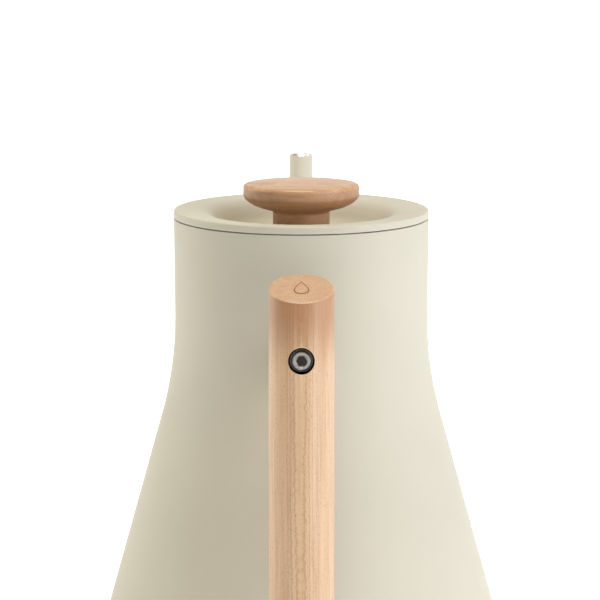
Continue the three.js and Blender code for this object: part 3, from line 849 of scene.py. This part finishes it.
def build_mark():
    """A plain droplet, burnt as a thin line into the rod's slanted top."""
    n = Nodes("burnt_line")
    char = n.noise(n.mapped(n.place, scale=PER_MM), 3.0, 3, 0.6)
    n.set(Base_Color=n.mix(n.span(char, 0.3, 0.7), srgb(158, 106, 70), srgb(126, 80, 50)), Roughness=0.8)
    centre_y, size, width, count = 0.4, 4.6, 0.85, 64

    def droplet(r):
        angles = [2 * math.pi * i / count for i in range(count)]
        widths = [r * 1.25 * math.sin(a) * math.sin(a / 2) ** 1.5 * 0.82 for a in angles]
        return [(wide, r * 1.45 * math.cos(a)) for wide, a in zip(widths, angles)]

    outer, inner = droplet(size), droplet(size - width)
    sunk, proud = -0.15, 0.012
    verts = []
    for ring, lift in ((outer, sunk), (outer, proud), (inner, proud), (inner, sunk)):
        for x, y in ring:
            run = centre_y + y * math.cos(HANDLE_CUT)
            verts.append(HANDLE_PLACE @ Vector((x, run, HANDLE_ABOVE + run * CUT_SLOPE + lift)))
    faces = grid_faces(4, count, True)
    make_piece("handle_drop_mark", verts, faces, "kettle", n.material, (), 40)


# ---------------------------------------------------------------- the lid
DISH_DEPTH = 13.0  # from the rim down to the dish's flat floor
DISH_FLOOR = COVER_HIGH.z - DISH_DEPTH
DISH = [  # radius and depth below the rim
    (28, DISH_DEPTH), (33, 11.9), (36.6, 9.4), (39.4, 5.8), (42.2, 2.8), (46, 1.1), (52, 0.45),
    (NECK_R - 1.2, 0.1),
]
VENT_R, VENT_RING, VENT_COUNT, VENT_SPREAD = 1.6, 21.0, 5, 34.0
SKIRT_R = 54.6  # the lining's upright side, which carries the seal
WHISTLE_PLACE = Matrix.Translation((0, WHISTLE_Y, 0))
RIVET_PLACES = [Matrix.Translation((side * RIVET_X, WHISTLE_Y, 0)) for side in (-1, 1)]
RIVET_HOLE_R = 1.6
SOUND_HOLE_R = 1.9


def build_cover():
    rim, low, sheet = COVER_HIGH.z, SEAM_Z + WELD_GAP, 1.2
    dish = smooth_line([(24, DISH_DEPTH), *DISH], 6)[6:]
    top = [(p.x, rim - p.y) for p in dish]
    under = [(p.x + 0.55, rim - p.y - sheet) for p in dish if p.x < NECK_R - 4]
    edge = arc(NECK_R - 0.8, rim - 0.85, 0.8, 90, 0, 7) + arc(NECK_R - 0.3, low + 0.3, 0.3, 0, -90, 4)
    side = NECK_R - sheet
    inside = [(side + 0.1, low), (side, low + 0.1), (side, rim - 2.0), (side - 0.5, rim - 1.5)]
    flat = (0, 14, 21)
    outline = [*((r, DISH_FLOOR) for r in flat), *top, *edge, *inside, *reversed(under)]
    outline += [(r, DISH_FLOOR - sheet) for r in reversed(flat)]
    cover = turned_piece("lid_dished_cover", outline, "lid", PAINT, ["lid_cover"], 192)
    cutters = [plug(LINER_HOLE_R, DISH_FLOOR - 5, DISH_FLOOR + 5, 40)]
    for i in range(VENT_COUNT):
        a = math.radians(90 + (i - (VENT_COUNT - 1) / 2) * VENT_SPREAD)
        place = Matrix.Translation((VENT_RING * math.cos(a), VENT_RING * math.sin(a), 0))
        cutters.append(plug(VENT_R, DISH_FLOOR - 5, DISH_FLOOR + 5, 32, place, 0.3, DISH_FLOOR))
    carve(cover, cutters)


def build_lining():
    low, high, flange, sheet = LINER_LOW.z, LINER_HIGH.z, LINER_HIGH.x, 0.8
    outline = rounded([
        (0, low, 0), (9, low, 0), (SKIRT_R, low, 2.2), (SKIRT_R, high - sheet, 0.5),
        (flange, high - sheet, 0.25), (flange, high, 0.25), (SKIRT_R - sheet, high, 0.9),
        (SKIRT_R - sheet, low + sheet, 1.5), (9, low + sheet, 0), (0, low + sheet, 0),
    ], closed=False)
    lining = turned_piece("lid_steel_lining", outline, "lid", STEEL, ["lid_liner"], 160)
    holes = [plug(LINER_HOLE_R, low - 5, low + 5, 40), plug(7, low - 5, low + 5, 64, WHISTLE_PLACE)]
    holes += [plug(RIVET_HOLE_R, low - 5, low + 5, 32, place) for place in RIVET_PLACES]
    carve(lining, holes)


def build_seal():
    """The ring round the lining's side, with one lip above the other."""
    low, high, outer, inner = GASKET_LOW.z, GASKET_HIGH.z, GASKET_HIGH.x, SKIRT_R + 0.05
    outline = rounded([
        (inner, low, 0.3), (outer - 0.7, low, 0.4), (outer, low + 0.8, 0.3), (outer, low + 1.4, 0.3),
        (outer - 1.3, low + 1.9, 0.3), (outer - 1.3, low + 2.4, 0.2), (outer - 0.4, low + 3.1, 0.25),
        (outer - 1.3, high, 0.25), (inner, high, 0.3),
    ])
    turned_piece("lid_silicone_seal", outline, "lid", SILICONE, ["lid_gasket"], 160)


def build_knob():
    """A turned stem that flares, along part of an ellipse, into a thin head with a crown."""
    radius, stem = KNOB_HIGH.x, 13.4
    side_low, depth, side_high, edge = SEAM_Z + 10.5, 8.8, SEAM_Z + 13.6, 1.6
    foot, top = KNOB_LOW.z, KNOB_HIGH.z
    start = math.acos((stem + 0.7) / radius)
    turns = [start * (1 - i / 20) for i in range(21)]
    under = [(radius * math.cos(a), side_low - depth * math.sin(a)) for a in turns]
    meet = under[0][1]
    stem_side = [(stem - 0.4, foot), (stem - 0.05, foot + 0.35), (stem, foot + 0.8), (stem, foot + 4)]
    fillet = [(stem, meet - 1.4), (stem + 0.08, meet - 0.7), (stem + 0.35, meet - 0.2)]
    shoulder = arc(radius - edge, side_high, edge, 0, 80, 8)
    x0, z0 = shoulder[-1]
    crown = [(x0 * (1 - i / 9), z0 + (top - z0) * (1 - (1 - i / 9) ** 2)) for i in range(1, 9)]
    outline = [(0, foot), (9, foot), *stem_side, *fillet, *under, (radius, side_low + 1.6)]
    outline += [*shoulder, *crown, (0, top)]
    knob = turned_piece("knob_turned_wood", outline, "lid", KNOB_WOOD, ["knob"], 144)
    carve(knob, [plug(4.05, foot - 5, foot + 14, 48)])


def build_knob_screw():
    """A cross-head screw, and the silicone ring under its head."""
    low, high, bore, rim = SEAL_LOW.z, SEAL_HIGH.z, 2.9, 5.5
    ring = rounded([(bore, low, 0.2), (rim, low, 0.35), (rim, high, 0.35), (bore, high, 0.2)])
    turned_piece(
        "knob_screw_silicone_ring", ring, "lid", SILICONE, ["knob_screw_seal"], 64
    )

    head_height, shank_r, tip = 3.2, 2.5, KNOB_SCREW_HIGH.z
    seat = KNOB_SCREW_LOW.z + head_height
    outline = [(0, seat - head_height), (1.6, seat - 3.1), (2.9, seat - 2.8), (3.9, seat - 2.1)]
    outline += [(4.55, seat - 1.1), (4.75, seat - 0.3), (4.7, seat - 0.05), (4.5, seat)]
    outline += [(shank_r, seat), (shank_r, tip - 0.4), (2.1, tip), (0, tip)]
    screw = turned_piece("knob_cross_screw", outline, "lid", SCREW_STEEL, ["knob_screw"], 72)

    # Each slot of the cross is a bar that narrows as it goes in: half length, half width and height.
    faces = [(0, 1, 2, 3), (4, 5, 6, 7), (0, 1, 5, 4), (1, 2, 6, 5), (2, 3, 7, 6), (3, 0, 4, 7)]
    slots = []
    for turn in (0, math.pi / 2):
        spin = Matrix.Rotation(turn, 4, "Z")
        corners = []
        for long, wide, z in ((2.4, 0.45, -2), (1.0, 0.35, 1.9)):
            corners += [(-long, -wide, z), (long, -wide, z), (long, wide, z), (-long, wide, z)]
        slots.append(([spin @ Vector((x, y, z + seat - head_height)) for x, y, z in corners], faces))
    carve(screw, slots)


def ears(low, high, width, steps):
    """The bar with round ends that reaches from rivet to rivet, as points and faces."""
    ring = []
    for side in (1, -1):
        for i in range(steps + 1):
            a = math.radians(-90 * side + 180 * i / steps)
            ring.append(Vector((side * RIVET_X, 0)) + Vector((math.cos(a), math.sin(a))) * (width / 2))
    points = [Vector((p.x, p.y + WHISTLE_Y, z)) for z in (low, high) for p in ring]
    count = len(ring)
    faces = [tuple(range(count)), tuple(range(count, 2 * count))]
    faces += [(i, (i + 1) % count, count + (i + 1) % count, count + i) for i in range(count)]
    return points, faces


def build_whistle():
    """A stamped brass cup with two ears, and a plate above it."""
    low, top, r, wall = CUP_LOW.z, CUP_HIGH.z, 10.0, 0.8
    outline = rounded([
        (0, low, 0), (3.4, low, 0.3), (4.0, low + 0.35, 0.3), (6.2, low + 0.35, 0.3), (6.8, low, 0.3),
        (r, low, 1.3), (r, top, 0.25), (0, top, 0),
    ], closed=False)
    cup = turned_piece(
        "whistle_brass_cup", outline, "lid", BRASS, ["whistle_cup"], 96, WHISTLE_PLACE
    )
    carve(cup, [ears(top - wall, top, 6.4, 12)], "UNION")
    cutters = [plug(r - wall, low + wall, top + 2, 96, WHISTLE_PLACE)]
    cutters += [plug(SOUND_HOLE_R, low - 3, top + 2, 48, WHISTLE_PLACE)]
    cutters += [plug(RIVET_HOLE_R, low - 3, top + 3, 24, place) for place in RIVET_PLACES]
    carve(cup, cutters)

    low, high, outer = PLATE_LOW.z, PLATE_HIGH.z, PLATE_HIGH.x
    plate = rounded([
        (SOUND_HOLE_R, low, 0.15), (outer, low, 0.2), (outer, high, 0.2), (SOUND_HOLE_R, high, 0.15),
    ])
    turned_piece(
        "whistle_brass_plate", plate, "lid", BRASS, ["whistle_plate"], 96, WHISTLE_PLACE
    )


def build_rivets():
    for i, place in enumerate(RIVET_PLACES):
        node = f"whistle_rivet_{i + 1}"
        corners = node_box(node)
        low, tip = corners[0].z, corners[1].z
        outline = [(0, low), (1.0, low + 0.08), (1.9, low + 0.35), (2.45, low + 0.75), (2.6, low + 1.0)]
        outline += [(1.5, low + 1.02), (1.5, tip - 1.02)]
        outline += [(2.6, tip - 1.0), (2.4, tip - 0.5), (1.6, tip - 0.1), (0, tip)]
        name = f"whistle_domed_rivet_{i + 1}"
        turned_piece(name, outline, "lid", SCREW_STEEL, [node], 40, place)


def dress_carried_nodes():
    """CAD nodes whose own shape is right, and which stay inside others, take a better material."""
    for name, material in {
        "heat_spreader": ALUMINIUM, "arm_plug": STEEL, "arm_doubler": STEEL, "knob_insert": BRASS,
        "knob_washer": SILICONE, "knob_spacer": STEEL,
    }.items():
        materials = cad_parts[name].data.materials
        materials.clear()
        materials.append(material)


# ---------------------------------------------------------------- stage, light and camera
CAMERA_DISTANCE = 0.840
CAMERA_ELEVATION = math.radians(10.839)
CAMERA_LENS = 105.88  # on a 36 mm wide sensor
LOOK_AT = Vector((-0.0006, 0, (SEAM_Z - 40.5) * MM))

# Soft panels round the kettle: name, azimuth from the camera's side to the right, elevation, width, height,
# brightness, where 1 is the floor's white, and colour.
PANELS = [
    ("right_front", 58, 17, 1.05, 1.2, 5.6, (0.95, 0.96, 1.0)),
    ("right", 90, 17, 1.05, 1.2, 1.9, (0.8, 0.88, 1.0)),
    ("back_right", 150, 17, 1.05, 1.2, 0.7, (1.0, 0.84, 0.3)),
    ("back", 180, 17, 1.05, 1.2, 1.1, (0.65, 0.9, 1.0)),
    ("left", 240, 17, 1.05, 1.2, 3.4, (0.98, 1.0, 0.92)),
    ("above_right", 60, 50, 1.3, 1.0, 1.6, (0.15, 0.43, 1.0)),
    ("above_left", 240, 50, 1.3, 1.0, 1.2, (1.0, 0.97, 0.92)),
    ("overhead", 0, 90, 0.9, 0.9, 15.0, (1.0, 0.90, 0.74)),
]
PANEL_DISTANCE = 2.0
PANEL_TARGET = Vector((0, 0, 0.15))
WORLD_GLOW = 0.04
FLOOR_EDGE = [(14.0, 0.0), (16.0, 0.4), (17.5, 1.3), (18.5, 2.6)]  # radius and height, in metres


def build_camera():
    camera = bpy.data.cameras.new("camera")
    camera.sensor_width = 36
    camera.lens = CAMERA_LENS
    camera.clip_end = 200
    rig = bpy.data.objects.new("camera", camera)
    back = Vector((0, -math.cos(CAMERA_ELEVATION), math.sin(CAMERA_ELEVATION)))
    rig.location = LOOK_AT + back * CAMERA_DISTANCE
    rig.rotation_euler = (math.pi / 2 - CAMERA_ELEVATION, 0, 0)
    bpy.context.scene.collection.objects.link(rig)
    bpy.context.scene.camera = rig


def soft_panel(name, azimuth, elevation, width, height, brightness, colour):
    light = bpy.data.lights.new(name, "AREA")
    light.shape = "RECTANGLE"
    light.size, light.size_y = width, height
    light.energy = math.pi * width * height * brightness
    light.color = colour
    turn, rise = math.radians(azimuth), math.radians(elevation)
    away = Vector((math.sin(turn) * math.cos(rise), -math.cos(turn) * math.cos(rise), math.sin(rise)))
    lamp = bpy.data.objects.new(name, light)
    lamp.location = PANEL_TARGET + away * PANEL_DISTANCE
    lamp.rotation_euler = (-away).to_track_quat("-Z", "Y").to_euler()
    lamp.visible_camera = False
    bpy.context.scene.collection.objects.link(lamp)


def build_floor():
    """A wide white floor that glows like a light table and turns up at its far edge."""
    sides = 64
    verts = [Vector((0, 0, 0))]
    for radius, height in FLOOR_EDGE:
        verts += ring_of(radius, sides, height)
    faces = [(0, 1 + i, 1 + (i + 1) % sides) for i in range(sides)]
    faces += [tuple(1 + k for k in quad) for quad in grid_faces(len(FLOOR_EDGE), sides, False)]
    mesh = bpy.data.meshes.new("floor")
    mesh.from_pydata(verts, [], faces)
    n = Nodes("plain_floor")
    n.set(Base_Color=(0.6, 0.6, 0.6, 1), Roughness=0.9)
    n.set(Emission_Color=(1, 1, 1, 1), Emission_Strength=1.0)
    mesh.materials.append(n.material)
    floor = bpy.data.objects.new("floor", mesh)
    bpy.context.scene.collection.objects.link(floor)


def build_lights():
    world = bpy.data.worlds.new("studio")
    bpy.context.scene.world = world
    world.use_nodes = True
    background = world.node_tree.nodes["Background"]
    background.inputs["Color"].default_value = (1, 1, 1, 1)
    background.inputs["Strength"].default_value = WORLD_GLOW
    for panel in PANELS:
        soft_panel(*panel)


build_shell()
build_base()
build_mouth_ledge()
build_spout()
build_spout_collar()
build_rod()
build_screw()
build_arm()
build_mark()
build_cover()
build_lining()
build_seal()
build_knob()
build_knob_screw()
build_whistle()
build_rivets()
dress_carried_nodes()
build_floor()
build_lights()
build_camera()
view = bpy.context.scene.view_settings
view.view_transform = "Standard"
view.look = "None"

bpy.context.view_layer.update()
